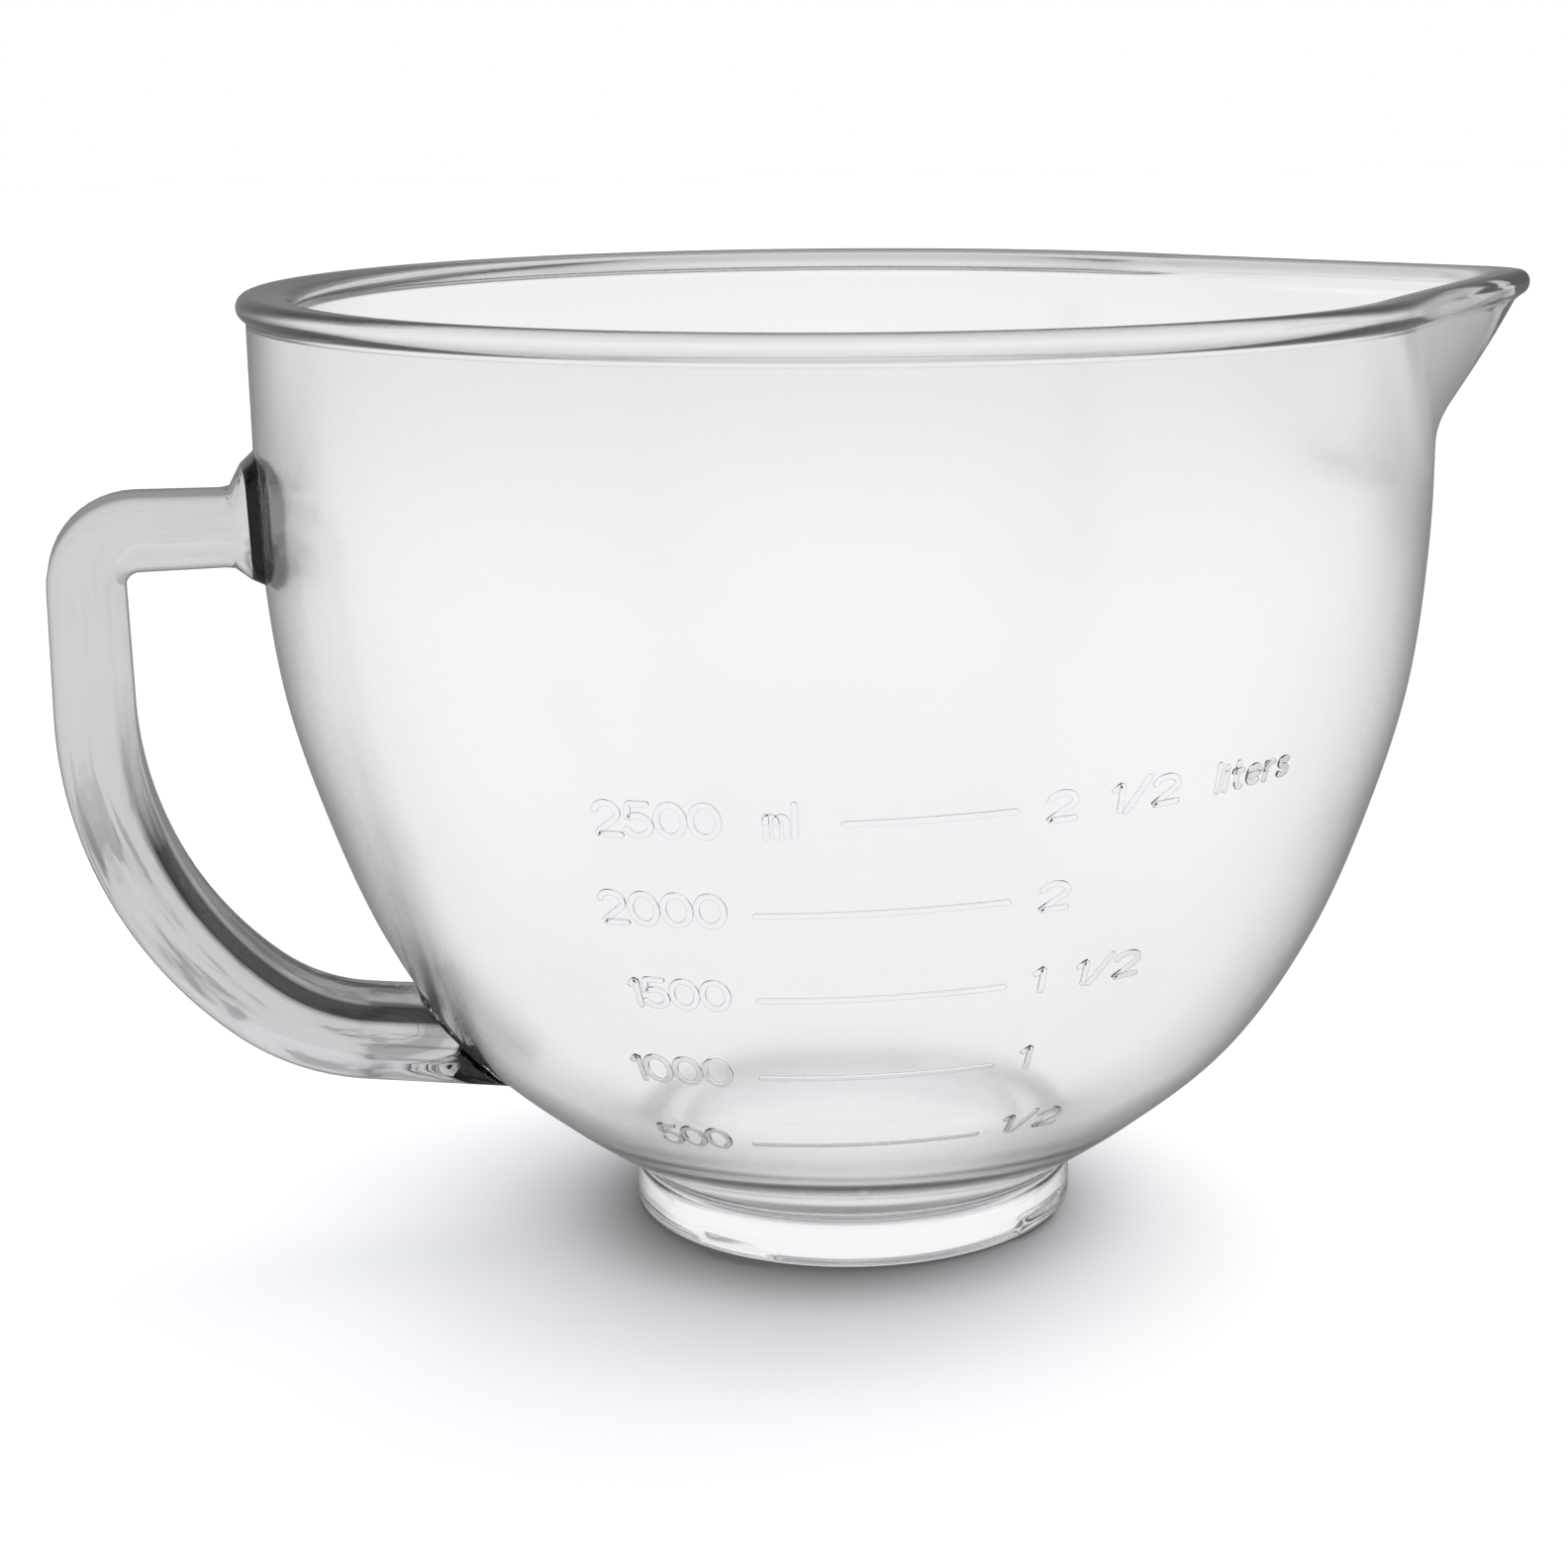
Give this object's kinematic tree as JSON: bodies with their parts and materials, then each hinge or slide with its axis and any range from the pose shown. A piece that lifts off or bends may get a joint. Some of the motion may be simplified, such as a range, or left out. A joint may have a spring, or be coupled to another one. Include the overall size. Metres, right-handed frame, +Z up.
{
  "type": "mixing bowl",
  "caption": "Clear glass stand-mixer bowl with side handle, pour spout, thick rim, twist-lock foot and raised volume scale.",
  "frame": {"origin": "middle of the overall length and width, in the plane that the foot stands on", "axes": "+X towards the pour spout, -X towards the handle, -Y out of the volume scale, +Z up through the mouth"},
  "size_m": [0.3044, 0.2378, 0.1915],
  "materials": {
    "body_glass": "fire-polished clear soda-lime glass",
    "handle_glass": "fire-polished clear soda-lime glass",
    "scale_relief": "raised clear glass relief"
  },
  "bodies": {
    "root": {"bowl_wall": "body_glass", "rim_bead": "body_glass", "pour_spout": "body_glass", "foot_ring": "body_glass", "foot_lug_1": "body_glass", "foot_lug_2": "body_glass", "foot_lug_3": "body_glass", "foot_lug_4": "body_glass", "handle_grip": "handle_glass", "upper_handle_joint": "handle_glass", "lower_handle_joint": "handle_glass", "scale_bar_500_ml": "scale_relief", "scale_bar_1000_ml": "scale_relief", "scale_bar_1500_ml": "scale_relief", "scale_bar_2000_ml": "scale_relief", "scale_bar_2500_ml": "scale_relief"}
  },
  "joints": []
}
